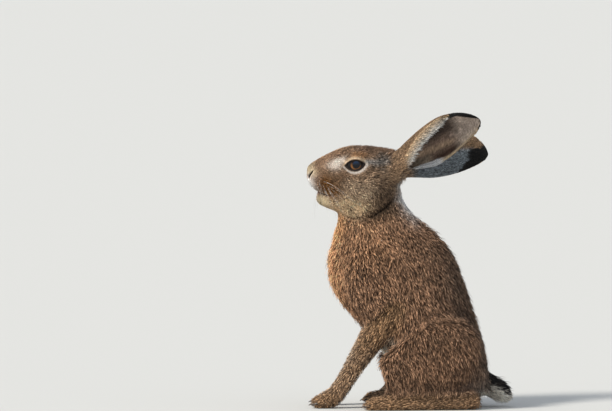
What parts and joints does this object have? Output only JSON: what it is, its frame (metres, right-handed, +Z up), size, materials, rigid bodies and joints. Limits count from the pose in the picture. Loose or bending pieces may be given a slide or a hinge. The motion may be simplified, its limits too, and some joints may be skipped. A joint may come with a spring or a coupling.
{
  "type": "brown hare",
  "caption": "Life-size still model of a brown hare sitting upright on its haunches, head raised and long black-tipped ears laid back.",
  "frame": {"origin": "middle of the hare's footprint box, on the floor that its feet rest on", "axes": "-X the way the hare faces, -Y its left side, +Z up"},
  "size_m": [0.236, 0.1538, 0.3395],
  "materials": {
    "coat": "short dense fur, brown ticked with black and cream",
    "coat_head": "short grey-brown fur",
    "coat_legs": "short warm brown fur",
    "ear": "thin skin with very short hair, black at the tip",
    "eye": "wet and glossy, dark amber",
    "tail": "fur, black above and white below"
  },
  "bodies": {
    "root": {"head": "coat_head", "neck": "coat", "torso": "coat", "tail": "tail", "ear_left": "ear", "ear_right": "ear", "eye_left": "eye", "eye_right": "eye", "foreleg_left": "coat_legs", "foreleg_right": "coat_legs", "thigh_left": "coat", "thigh_right": "coat", "hind_foot_left": "coat_legs", "hind_foot_right": "coat_legs"}
  },
  "joints": []
}
